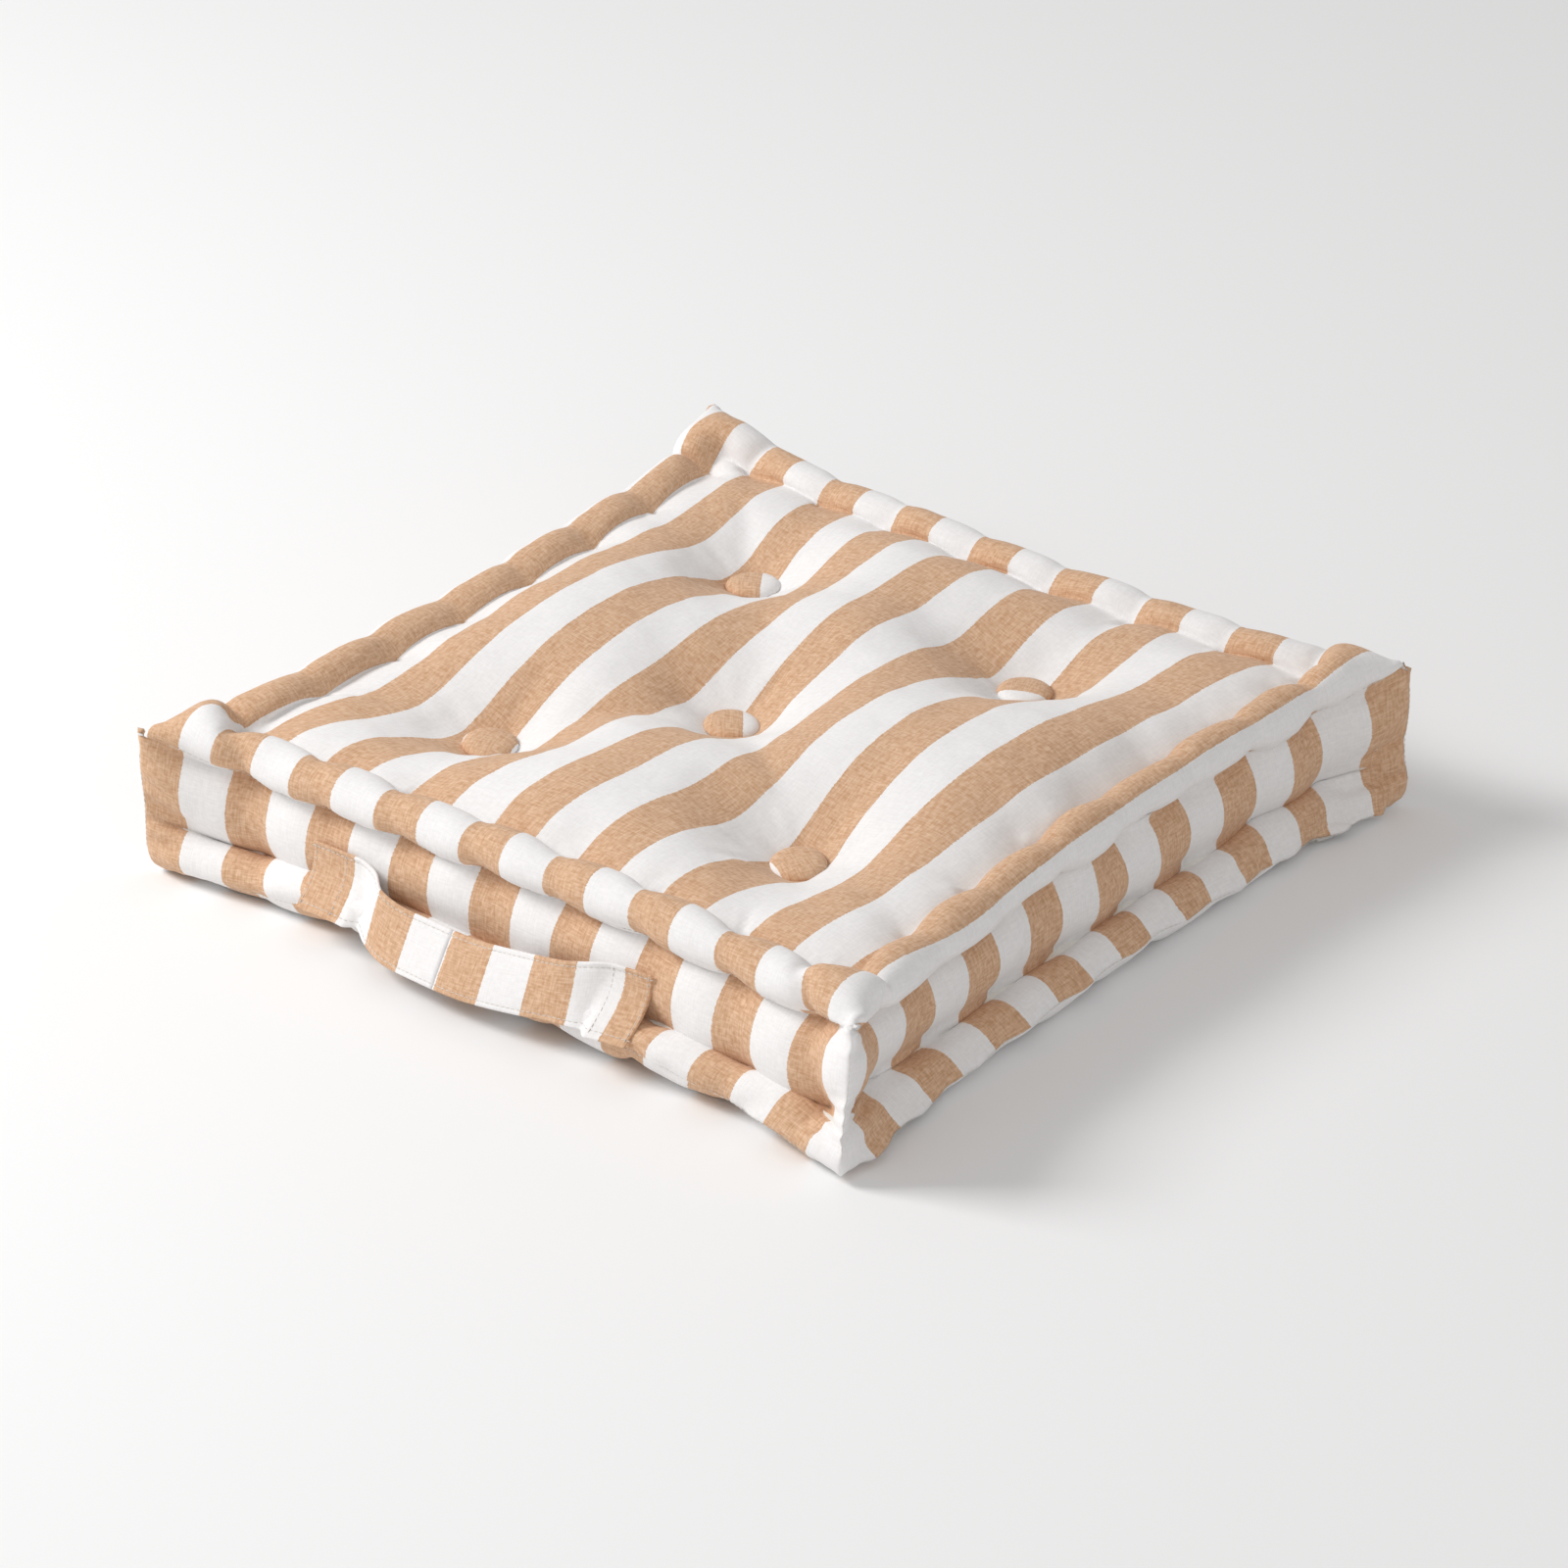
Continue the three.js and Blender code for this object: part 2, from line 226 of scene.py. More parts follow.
# Cover. Two square panels and four side strips of the striped cotton, sewn round and turned out,
# then stitched through by hand into a thick edge roll all round the top and the bottom. Its shape
# is solved as cloth: cut flat, held at the stitches and tufts, and blown out by the filling.
half_side = cad_box[1].x
cell = 0.0052
cells_across = 95
side_rows = 19
top_roll_cells = 10
bottom_roll_cells = 6
upper_pinch_row = 2
lower_pinch_row = 12
middle = cells_across / 2
roll_radius = 0.0135
top_roll_centre = (half_side - roll_radius, 0.0775)
bottom_roll_centre = (half_side - 0.0140, 0.0098)
top_seam_angle = -50
bottom_seam_angle = -20
pinch_angle = 107
upper_pinch_height = 0.063
lower_pinch_height = 0.0195
side_recess = 0.018
side_bulge = 0.013
corner_reach = half_side + 0.0045
ear_height = 0.0865
foot_height = 0.003
edge_bow = 0.0145
bottom_edge_bow = 0.003
front_splay = (-0.007, 0.015)  # how far the foot of the front side spreads, at its left and right
crown_height = 0.086
crown_edge_height = 0.077
under_edge_height = 0.0085
tufts = {
    "front_left": (-0.101, -0.105),
    "front_right": (0.0935, -0.102),
    "centre": (-0.019, -0.015),
    "back_left": (-0.1035, 0.107),
    "back_right": (0.075, 0.104),
}
tuft_radius = 0.0135
top_tuft_height = 0.0630
bottom_tuft_height = 0.0130
top_well = (0.024, 0.026)  # depth and reach of the hollow round a tuft
bottom_well = (0.013, 0.018)
stripes_drawn = (-0.0236, 0.0518, 0.00075)  # where the stripes lie: a start, a pair's width, its growth
stitch_runs = {"right": [11 + 10 * n for n in range(8)], "left": [12 + 10 * n for n in range(8)]}
front_askew = 0.0100  # how far the front end of the panel's stripes was pulled to the left
lower_stitch_shift = 2
sides = ("front", "right", "back", "left")
top_panel, bottom_panel = 4, 5


def mix(a, b, t):
    """From a to b by the share t."""
    return a + (b - a) * t


def stripe_edge(n):
    """Where pair n of stripes starts on the panel; the cloth was pulled wider towards the right."""
    start, pair, growth = stripes_drawn
    return start + pair * n + growth * n * n


def stripe_number(across):
    """How many pairs of stripes lie before a place across the panel."""
    start, pair, growth = stripes_drawn
    return (-pair + np.sqrt(pair ** 2 + 4 * growth * (across - start))) / (2 * growth)


for side in ("front", "back"):  # stitched where a tan stripe starts, which is easy to keep to
    stitch_runs[side] = [round(middle + stripe_edge(n) / cell) for n in range(-3, 5)]
    stitch_runs[side][-1] = cells_across - top_roll_cells - 1


def ease(low, high, value):
    """From 0 at low to 1 at high, starting and ending gently."""
    t = np.clip((value - low) / (high - low), 0, 1)
    return t * t * (3 - 2 * t)


def round_roll(centre, angle, up):
    """How far out and how high a place on a roll's round lies."""
    return centre[0] + roll_radius * math.cos(math.radians(angle)), (
        centre[1] + up * math.sin(math.radians(angle))
    )


def side_profile(row, corner):
    """How far out and how high a row of the side strip starts; it fills out at the corners."""
    if row <= upper_pinch_row:
        angle = mix(top_seam_angle, -pinch_angle, row / upper_pinch_row)
        out, height = round_roll(top_roll_centre, angle, roll_radius)
    elif row <= lower_pinch_row:
        t = (row - upper_pinch_row) / (lower_pinch_row - upper_pinch_row)
        out = half_side - side_recess + side_bulge * math.sin(math.pi * t) ** 0.8
        height = mix(upper_pinch_height, lower_pinch_height, t)
    else:
        t = (row - lower_pinch_row) / (side_rows - lower_pinch_row)
        angle = mix(pinch_angle, bottom_seam_angle, t)
        out, height = round_roll(bottom_roll_centre, angle, bottom_roll_centre[1])
    full = corner_reach - 0.0015 * math.sin(math.pi * row / side_rows)
    height = mix(height, mix(ear_height, foot_height, row / side_rows), corner)
    return mix(out, max(out, full), corner), height


def across_roll(a, beyond, other, roll_cells, inner_reach, out):
    """A place across the panel: flat inside the roll, round it beyond, drawn out at corners."""
    if beyond <= 0:
        return a / (middle - roll_cells) * inner_reach
    straight = mix(inner_reach, corner_reach, (beyond / roll_cells) ** 0.85)
    return mix(out, straight, other / roll_cells)


def starting_place(i, j, row):
    """Where a point of the lattice lies before the filling blows the cloth out."""
    a, b = abs(i - middle), abs(j - middle)
    way_x, way_y = np.sign(i - middle), np.sign(j - middle)
    inner_reach = top_roll_centre[0] - roll_radius
    if row in (0, side_rows):
        on_top = row == 0
        roll_cells = top_roll_cells if on_top else bottom_roll_cells
        beyond_x = max(0, a - (middle - roll_cells))
        beyond_y = max(0, b - (middle - roll_cells))
        beyond = max(beyond_x, beyond_y)

        def rolled(e):
            if on_top:
                angle = mix(180, top_seam_angle, e / roll_cells)
                return round_roll(top_roll_centre, angle, roll_radius)
            angle = mix(-172, bottom_seam_angle, e / roll_cells)
            return round_roll(bottom_roll_centre, angle, bottom_roll_centre[1])

        x = across_roll(a, beyond_x, beyond_y, roll_cells, inner_reach, rolled(beyond_x)[0])
        y = across_roll(b, beyond_y, beyond_x, roll_cells, inner_reach, rolled(beyond_y)[0])
        near_edge = max(a, b) / (middle - roll_cells)
        if beyond > 0:
            z = rolled(beyond)[1]
            ear = min(beyond_x, beyond_y) / roll_cells
            z = mix(z, ear_height if on_top else foot_height, ear * ear)
        elif on_top:
            z = mix(crown_height, crown_edge_height, float(ease(0.86, 1.0, near_edge)))
        else:
            z = under_edge_height * float(ease(0.9, 1.0, near_edge))
    else:
        on_x = i in (0, cells_across)
        at_corner = on_x and j in (0, cells_across)
        along = middle if at_corner else (b if on_x else a)
        corner = float(ease(middle - 9, middle - 1, along))
        out, z = side_profile(row, corner)
        corner_out = side_profile(row, 1.0)[0]
        roll_start = middle - top_roll_cells
        if along <= roll_start:
            run = along / roll_start * inner_reach
        else:
            run = mix(inner_reach, corner_out, (along - roll_start) / top_roll_cells)
        if at_corner:
            x = y = corner_out
        else:
            x, y = (out, run) if on_x else (run, out)
    drawn = mix(edge_bow, bottom_edge_bow, row / side_rows) / half_side
    shrink_x = 1 - drawn * (1 - min(1, (y / half_side) ** 2))
    shrink_y = 1 - drawn * (1 - min(1, (x / half_side) ** 2))
    across, along = way_x * x * shrink_x, way_y * y * shrink_y
    if along < 0:
        spread = mix(*front_splay, float(ease(-0.16, 0.06, across)))
        along -= spread * row / side_rows * min(1, (y / half_side) ** 4)
    return across, along, z


# the cloth's lattice: (i, j, row) with row 0 on the top panel and the last on the bottom one
point_at = {}
quads = []
quad_panel = []


def point(i, j, row):
    """The number of a lattice point, new or met before."""
    return point_at.setdefault((i, j, row), len(point_at))


for i in range(cells_across):
    for j in range(cells_across):
        ring = ((i, j), (i + 1, j), (i + 1, j + 1), (i, j + 1))
        quads.append([point(*p, 0) for p in ring])
        quad_panel.append(top_panel)
        quads.append([point(*p, side_rows) for p in reversed(ring)])
        quad_panel.append(bottom_panel)
for t in range(cells_across):
    for row in range(side_rows):
        far = cells_across
        edges = (
            ((t, 0), (t + 1, 0)),
            ((far, t), (far, t + 1)),
            ((t + 1, far), (t, far)),
            ((0, t + 1), (0, t)),
        )
        for panel, (first, second) in enumerate(edges):
            quads.append([
                point(*first, row + 1), point(*second, row + 1), point(*second, row), point(*first, row)
            ])
            quad_panel.append(panel)
lattice = np.array(list(point_at))
quads = np.array(quads)
quad_panel = np.array(quad_panel)
places = np.array([starting_place(*key) for key in lattice.tolist()])
on_top = lattice[:, 2] == 0
on_bottom = lattice[:, 2] == side_rows

# tufts: the twine draws a small disc of both panels in, and the cloth round it follows
held = np.zeros(len(lattice), bool)
flat_places = places.copy()
for x, y in tufts.values():
    away = np.hypot(flat_places[:, 0] - x, flat_places[:, 1] - y)
    places[on_top, 2] -= top_well[0] * np.exp(-((away / top_well[1]) ** 2))[on_top]
    places[on_bottom, 2] += bottom_well[0] * np.exp(-((away / bottom_well[1]) ** 2))[on_bottom]
    disc = away < tuft_radius
    held |= disc & (on_top | on_bottom)
    places[on_top & disc, 2] = top_tuft_height
    places[on_bottom & disc, 2] = bottom_tuft_height


def upper_slant(side, run):
    """How many cells a stitch of the front roll runs to the left on its way over the roll."""
    if side != "front":
        return 0
    return 3 if run < 30 else 2


# hand stitches through the rolls: four places on each, drawn in by the thread
hand = np.random.default_rng(7)
stitch_points = []
drawn_in = {"right": (0.0016, 0.0070, 0.0100, 0.0)}
usual_drawn_in = (0.0018, 0.0052, 0.0044, 0.0)
drawn_down = (0.0050, 0.0, 0.0, 0.0)
stitch_slip = 0.0016
for side in sides:
    along_x = side in ("front", "back")
    outer = 0 if side in ("front", "left") else cells_across
    inward = 1 if outer == 0 else -1
    for run in stitch_runs[side]:
        low_run = run + lower_stitch_shift
        spots = (
            (run - upper_slant(side, run), outer + inward * top_roll_cells, 0),
            (run, outer, upper_pinch_row),
            (low_run, outer, lower_pinch_row),
            (low_run, outer + inward * bottom_roll_cells, side_rows),
        )
        row_points = []
        for spot, inwards, downwards in zip(spots, drawn_in.get(side, usual_drawn_in), drawn_down):
            key = (spot[0], spot[1], spot[2]) if along_x else (spot[1], spot[0], spot[2])
            p = point_at[key]
            slip = hand.uniform(-stitch_slip, stitch_slip, 3)
            pull = inwards + hand.uniform(-0.0006, 0.0012)
            across = 1 if along_x else 0
            places[p, across] -= np.sign(places[p, across]) * pull
            places[p, 1 - across] += slip[0]
            places[p, 2] += -downwards + 0.5 * slip[1]
            places[p, 2] = max(places[p, 2], 0.0004)
            held[p] = True
            row_points.append(p)
        stitch_points.append(row_points)

# the cloth's cut size along each side of each cell, gathered where a stitch draws a roll in
flat = np.stack([
    (lattice[:, 0] - middle) * cell, (lattice[:, 1] - middle) * cell, (side_rows - lattice[:, 2]) * cell
], axis=1)
below = np.maximum(lattice[:, 2] - lower_pinch_row, 0) / (side_rows - lower_pinch_row)
foot_taper = 0.01
flat[:, :2] *= (1 - foot_taper * below)[:, None]
corner_depth = np.hypot(middle - np.abs(lattice[:, 0] - middle), middle - np.abs(lattice[:, 1] - middle))
gather = {}
gather_reach = 1.2
for axis, (near, far) in enumerate((("front", "back"), ("left", "right"))):
    amount = np.zeros(len(lattice))
    for side, outer in ((near, 0), (far, cells_across)):
        depth = np.abs(lattice[:, 1 - axis] - outer)
        in_top = (on_top & (depth <= top_roll_cells)) | ((depth == 0) & (lattice[:, 2] <= upper_pinch_row))
        in_low = (on_bottom & (depth <= bottom_roll_cells)) | (
            (depth == 0) & (lattice[:, 2] >= lower_pinch_row)
        )
        for run in stitch_runs[side]:
            slanted = run - upper_slant(side, run) * depth * on_top / top_roll_cells
            here = np.exp(-(((lattice[:, axis] - slanted) / gather_reach) ** 2)) * in_top
            low_run = run + lower_stitch_shift
            under = np.exp(-(((lattice[:, axis] - low_run) / gather_reach) ** 2)) * in_low
            amount = np.maximum(amount, np.maximum(here, under))
    gather[axis] = amount
roll_gather = 0.13  # share of its length that the cloth loses where a stitch gathers it
corner_ease = 0.72  # share of its length that the cloth keeps along the seams at a corner
cloth_slack = 0.15  # how much of a squeezed yarn's length comes back in a round
bias_taut = 0.3
bias_slack = 0.045
corner_bias_taut = 0.05
cloth_bending = 0.02
settling = 0.96
slow_start = 60
push_a_round = 1e-4


def solve_cover(x, held, flat, pressure, pull_to, pull, rounds):
    """Blows the cloth out against its stitches: position-based cloth with coloured edge groups."""
    side_pairs = np.concatenate([quads[:, [0, 1]], quads[:, [1, 2]], quads[:, [2, 3]], quads[:, [3, 0]]])
    side_pairs = np.unique(np.sort(side_pairs, axis=1), axis=0)
    cross_pairs = np.concatenate([quads[:, [0, 2]], quads[:, [1, 3]]])

    def groups_of(pairs, taut, slack, shorten):
        length = np.linalg.norm(flat[pairs[:, 0]] - flat[pairs[:, 1]], axis=1) * shorten
        taken = [0] * len(x)
        colour = np.zeros(len(pairs), int)
        for n, (a, b) in enumerate(pairs.tolist()):
            busy = taken[a] | taken[b]
            c = 0
            while busy >> c & 1:
                c += 1
            colour[n] = c
            taken[a] |= 1 << c
            taken[b] |= 1 << c
        free = 1.0 - held
        for c in range(colour.max() + 1):
            mine = colour == c
            a, b = pairs[mine].T
            both = np.maximum(free[a] + free[b], 1e-9)
            held_taut = taut[mine] if np.ndim(taut) else taut
            yield a, b, length[mine], held_taut, slack, free[a] / both, free[b] / both

    step = np.abs(lattice[side_pairs[:, 0]] - lattice[side_pairs[:, 1]])
    radial_fb = (step[:, 1] > 0) | (step[:, 2] > 0)
    radial_lr = (step[:, 0] > 0) | (step[:, 2] > 0)
    first, second = side_pairs.T
    fb = 0.5 * (gather[0][first] + gather[0][second]) * radial_fb
    lr = 0.5 * (gather[1][first] + gather[1][second]) * radial_lr
    shorten = 1 - roll_gather * np.maximum(fb, lr)
    for axis in (0, 1):  # the cloth's spare length at the corners is eased in along the seams
        along = step[:, axis] > 0
        centre = 0.5 * (lattice[first] + lattice[second])
        near_end = np.abs(centre[:, axis] - middle) > middle - top_roll_cells
        depth = middle - np.abs(centre[:, 1 - axis] - middle)
        reach = np.where(on_bottom[first], bottom_roll_cells, top_roll_cells)
        eased = mix(corner_ease, 1.0, np.clip(depth / reach, 0, 1))
        shorten = np.where(along & near_end, shorten * eased, shorten)
    groups = list(groups_of(side_pairs, 1.0, cloth_slack, shorten))
    in_corner = corner_depth[cross_pairs].min(axis=1) < top_roll_cells + 4
    cross_taut = np.where(in_corner, corner_bias_taut, bias_taut)
    groups += list(groups_of(cross_pairs, cross_taut, bias_slack, 1.0))

    following = [dict() for _ in x]
    for a, b, c, d in quads.tolist():
        following[a][b] = d
        following[b][c] = a
        following[c][d] = b
        following[d][a] = c
    around = np.zeros((len(x), 4), int)
    for n, after in enumerate(following):
        ring = [next(iter(after))]
        while len(ring) < len(after):
            ring.append(after[ring[-1]])
        around[n] = ring if len(ring) == 4 else ring + [ring[2]]
    r0, r1, r2, r3 = around.T

    free = (1.0 - held)[:, None]
    before = x.copy()
    for n in range(rounds):
        outwards = np.cross(x[r0] - x[r2], x[r1] - x[r3]) * 0.5 / cell ** 2
        push = outwards * (min(1.0, (n + 1) / slow_start) * push_a_round * pressure)[:, None]
        bend = (x[r0] + x[r1] + x[r2] + x[r3]) * 0.25 - x
        drift = (x - before) * settling
        before = x.copy()
        x = x + (drift + push + cloth_bending * bend) * free
        x += (pull_to - x) * pull[:, None]
        for a, b, length, taut, slack, move_a, move_b in groups:
            line = x[b] - x[a]
            now = np.sqrt((line * line).sum(1))
            over = now - length
            share = (np.where(over > 0, taut, slack) * over / np.maximum(now, 1e-9))[:, None] * line
            x[a] += share * move_a[:, None]
            x[b] -= share * move_b[:, None]
        np.maximum(x[:, 2], 0.0, out=x[:, 2])
    return x


def gentle_waves(at, count, lengths):
    """The sum of so many waves of random ways and lengths at each place, about one high."""
    height = np.zeros(len(at))
    for n in range(count):
        wave = hand.normal(0, 1, 3)
        wave *= 2 * math.pi / (hand.uniform(*lengths) * np.linalg.norm(wave))
        height += np.sin(at @ wave + hand.uniform(0, 2 * math.pi)) / math.sqrt(count / 2)
    return height


# the filling presses harder in the rolls than in the crown, and unevenly, as loose fibre does
edge_depth = np.minimum(
    middle - np.abs(lattice[:, 0] - middle), middle - np.abs(lattice[:, 1] - middle)
)
in_roll = (on_top & (edge_depth < top_roll_cells)) | (lattice[:, 2] <= upper_pinch_row) & ~on_top
crown = on_top & (edge_depth >= top_roll_cells)
lumps = gentle_waves(places, 14, (0.045, 0.11))
crown_pressure = 0.035
roll_pressure = 0.110
side_pressure = 0.065
bottom_pressure = 0.03
slack_side_pressure = 0.045  # the right side and its foot are filled less than the others
slack_foot_pressure = 0.022
corner_share = 0.8
lump_share = 0.28
pressure = np.where(crown, crown_pressure, np.where(in_roll, roll_pressure, side_pressure))
pressure = np.where(on_bottom, bottom_pressure, pressure)
pressure = np.where(corner_depth < 9, corner_share * pressure, pressure)
right_side = (lattice[:, 0] == cells_across) & (lattice[:, 2] > upper_pinch_row)
pressure = np.where(right_side, slack_side_pressure, pressure)
right_foot = right_side & (lattice[:, 2] > lower_pinch_row)
right_foot &= (lattice[:, 1] > 5) & (lattice[:, 1] < cells_across - 5)
pressure = np.where(right_foot, slack_foot_pressure, pressure)
pressure *= 1 + lump_share * np.clip(lumps, -1.6, 1.6)

# between the stitches the creases are held softly, and so are the corner seams
crease = on_top & (edge_depth == top_roll_cells)
crease |= ~on_top & ~on_bottom & np.isin(lattice[:, 2], (upper_pinch_row, lower_pinch_row))
corner_seam = np.isin(lattice[:, 0], (0, cells_across)) & np.isin(lattice[:, 1], (0, cells_across))
crease_hold = 0.028
corner_hold = 0.08
pull = np.where(crease, crease_hold, 0.0)
pull = np.where(corner_seam, corner_hold, pull)
rounds = 300
shape = solve_cover(places.copy(), held, flat, pressure, places, pull, rounds)

# the sewn seams lie a little lower than the cloth beside them, and the foot of the right side
# flares out in a wavy lip
far = cells_across
round_the_top = [(t, 0) for t in range(far)] + [(far, t) for t in range(far)]
round_the_top += [(far - t, far) for t in range(far)] + [(0, far - t) for t in range(far)]
top_seam = [point_at[(i, j, 0)] for i, j in round_the_top]
key_of = lattice.tolist()
bottom_seam = [point_at[(i, j, side_rows)] for i, j in round_the_top]
corner_seams = [
    [point_at[(i, j, row)] for row in range(side_rows + 1)]
    for i in (0, cells_across) for j in (0, cells_across)
]
seam_depth = 0.0016
lip_reach = 0.0060
lip_wave = 0.0022
loose = bpy.data.meshes.new("before the seams")
loose.from_pydata(shape.tolist(), [], quads.tolist())
loose_facing = np.array([vertex.normal for vertex in loose.vertices])
for line in (top_seam, bottom_seam):
    tightness = 0.8 + 0.4 * np.sin(np.arange(len(line)) * 2.1)
    shape[line] -= loose_facing[line] * seam_depth * tightness[:, None]
lip = [p for p in bottom_seam if key_of[p][0] == cells_across and 4 < key_of[p][1] < cells_across - 4]
shape[lip, 0] += lip_reach + lip_wave * np.sin(np.arange(len(lip)) * 0.75)

strip_starts = (0.028, 0.004, 0.020, 0.014)  # how the stripes fall on each side strip


def new_piece(name, mesh, *materials):
    """A smooth-shaded piece at the origin with its materials."""
    mesh.polygons.foreach_set("use_smooth", [True] * len(mesh.polygons))
    for material in materials:
        mesh.materials.append(material)
    made = bpy.data.objects.new(name, mesh)
    bpy.context.scene.collection.objects.link(made)
    return made


def mesh_from(name, points, faces):
    """A new mesh of these points and faces."""
    mesh = bpy.data.meshes.new(name)
    mesh.from_pydata(np.asarray(points).tolist(), [], [list(map(int, face)) for face in faces])
    mesh.update()
    return mesh


def finished(piece):
    """The piece with its modifiers made part of its mesh."""
    seen = piece.evaluated_get(bpy.context.evaluated_depsgraph_get())
    mesh = bpy.data.meshes.new_from_object(seen)
    piece.modifiers.clear()
    old = piece.data
    piece.data = mesh
    bpy.data.meshes.remove(old)
    return piece


cover = new_piece("cover", mesh_from("cover", shape, quads), striped_cotton)
corners = quads.ravel()
corner_panel = np.repeat(quad_panel, 4)
cut_place = np.zeros((len(corners), 2))
panel_reach = (middle - top_roll_cells) * cell
near_end_ease, far_end_ease = 0.22, 0.45  # how much the strips' stripes close up past the rolls
for panel, start in enumerate(strip_starts):
    mine = corner_panel == panel
    along = (lattice[corners[mine], panel % 2] - middle) * cell
    beyond = np.maximum(np.abs(along) - panel_reach, 0)  # the strips are eased in at the corners
    cut_place[mine, 0] = along - np.where(along < 0, -near_end_ease, far_end_ease) * beyond + start
    cut_place[mine, 1] = lattice[corners[mine], 2] * cell
for panel in (top_panel, bottom_panel):
    mine = corner_panel == panel
    across = (lattice[corners[mine], 0] - middle) * cell
    along = (lattice[corners[mine], 1] - middle) * cell
    askew = front_askew * ease(-0.11, -0.20, along) * mix(1.0, 2.0, ease(-0.02, -0.20, across))
    on_left_roll = ease(-0.183, -0.203, across)
    askew *= mix(1.0, 0.25 + 0.75 * ease(-0.185, -0.215, along), on_left_roll)
    cut_place[mine, 0] = stripe_number(across + askew) * 2 * stripe_width
    cut_place[mine, 1] = (lattice[corners[mine], 1] - middle) * cell
cover.data.uv_layers.new(name="cloth").data.foreach_set("uv", cut_place.ravel())
finer = cover.modifiers.new("finer cloth", "SUBSURF")
finer.levels = finer.render_levels = 1
finished(cover)


def read_all(values, name):
    """One vector of every item in a mesh's list, as rows."""
    flat_list = np.zeros(len(values) * 3)
    values.foreach_get(name, flat_list)
    return flat_list.reshape(-1, 3)


# small folds in the cloth: round the tufts, from the stitches, slanting at the corners, and
# upright in the slack right side
fine = read_all(cover.data.vertices, "co")
facing = read_all(cover.data.vertex_normals, "vector")
lift = np.zeros(len(fine))


def fold(start, along, length, width, depth):
    """A soft crease from start, deepest near it and gone at its length."""
    along = np.asarray(along) / np.linalg.norm(along)
    near = np.linalg.norm(fine - start, axis=1) < length * 1.2
    offset = fine[near] - start
    run = offset @ along
    aside = np.linalg.norm(offset - np.outer(run, along), axis=1)
    fade = ease(-0.15 * length, 0.12 * length, run)
    fade *= 1 - ease(0.25 * length, length, run)
    lift[near] -= depth * fade * np.exp(-((aside / width) ** 2))
    ridge = np.exp(-(((aside - 2.2 * width) / width) ** 2))
    lift[near] += 0.35 * depth * fade * ridge


tuft_folds = 7
for x, y in tufts.values():
    middle_of_tuft = np.array([x, y, top_tuft_height + 0.004])
    turn = hand.uniform(0, 2 * math.pi)
    for n in range(tuft_folds):
        angle = turn + 2 * math.pi * n / tuft_folds + hand.uniform(-0.3, 0.3)
        rise = hand.uniform(0.28, 0.42)
        fold(
            middle_of_tuft, (math.cos(angle), math.sin(angle), rise),
            hand.uniform(0.035, 0.062), hand.uniform(0.0022, 0.0036), hand.uniform(0.0008, 0.0022),
        )
stitch_folds = 3
stitch_fold_width = 0.0018
for row_points in stitch_points:
    for spot, p in enumerate(row_points[:3]):
        centre = shape[p]
        inwards = np.array([-centre[0], -centre[1], 0.0])
        if abs(centre[0]) > abs(centre[1]):
            inwards[1] = 0
        else:
            inwards[0] = 0
        inwards /= np.linalg.norm(inwards)
        sideways = np.cross(inwards, (0, 0, 1))
        for n in range(stitch_folds):
            slant = hand.uniform(-0.9, 0.9)
            if spot == 0:
                way = inwards + slant * sideways + np.array([0, 0, 0.35])
            else:
                way = np.array([0, 0, (-1.0, 1.0)[n % 2]]) + slant * 0.7 * sideways
            length = hand.uniform(0.018, 0.034)
            fold(centre, way, length, stitch_fold_width, hand.uniform(0.0007, 0.0019))
ear_folds = 5
ear_fold_width = 0.0017
for way_x in (-1, 1):
    for way_y in (-1, 1):
        ear = np.array([way_x, way_y, 0.0]) * (corner_reach - 0.004) + np.array([0, 0, 0.083])
        for n in range(ear_folds):
            spin = hand.uniform(-1.1, 1.1)
            way = np.array([-way_x * (1 + spin), -way_y * (1 - spin), hand.uniform(-0.7, 0.1)])
            length = hand.uniform(0.022, 0.038)
            fold(ear, way, length, ear_fold_width, hand.uniform(0.0009, 0.0018))
slack_folds = 16
slack_fold_spacing = 0.0265
slack_fold_width = 0.0026
for n in range(slack_folds):
    along = -0.2 + slack_fold_spacing * n + hand.uniform(-0.008, 0.008)
    foot = np.array([half_side - 0.010, along, 0.020])
    upright = (0, hand.uniform(-0.35, 0.35), 1)
    length = hand.uniform(0.028, 0.044)
    fold(foot, upright, length, slack_fold_width, hand.uniform(0.0012, 0.0032))
ripple_height = 0.00022
lift += ripple_height * gentle_waves(fine, 40, (0.012, 0.045))

fine += facing * lift[:, None]
np.maximum(fine[:, 2], 0.0, out=fine[:, 2])
cover.data.vertices.foreach_set("co", fine.ravel())
cover.data.update()

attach(cover, "cushion")
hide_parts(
    "top_panel", "bottom_panel", "side_panel_front", "side_panel_right", "side_panel_back",
    "side_panel_left",
)


# Filling. Loose cotton and polyester fibre packed into the cover and worked up into the rolls;
# it is one soft mass that touches the cloth all over, and it shows nowhere on a sound cushion.
cloth_and_air = 0.0022
corner_emptiness = 0.012  # the fibre doesn't fill the pointed corners and the foot's thin edge
foot_emptiness = 0.011
fibre, tree, surface = new_material("fibre filling", 0.95)
place = node(tree, "ShaderNodeTexCoord").outputs["Object"]
tangle = node(tree, "ShaderNodeTexNoise", (("Vector", place), ("Scale", 260.0), ("Detail", 5.0)))
tone = blend(tree, tangle.outputs["Fac"], (0.80, 0.77, 0.70, 1), (0.92, 0.90, 0.85, 1))
tree.links.new(tone, surface.inputs["Base Color"])
fluff_depth = 0.001
fluff = node(tree, "ShaderNodeBump", (("Height", tangle.outputs["Fac"]), ("Distance", fluff_depth)))
tree.links.new(fluff.outputs[0], surface.inputs["Normal"])

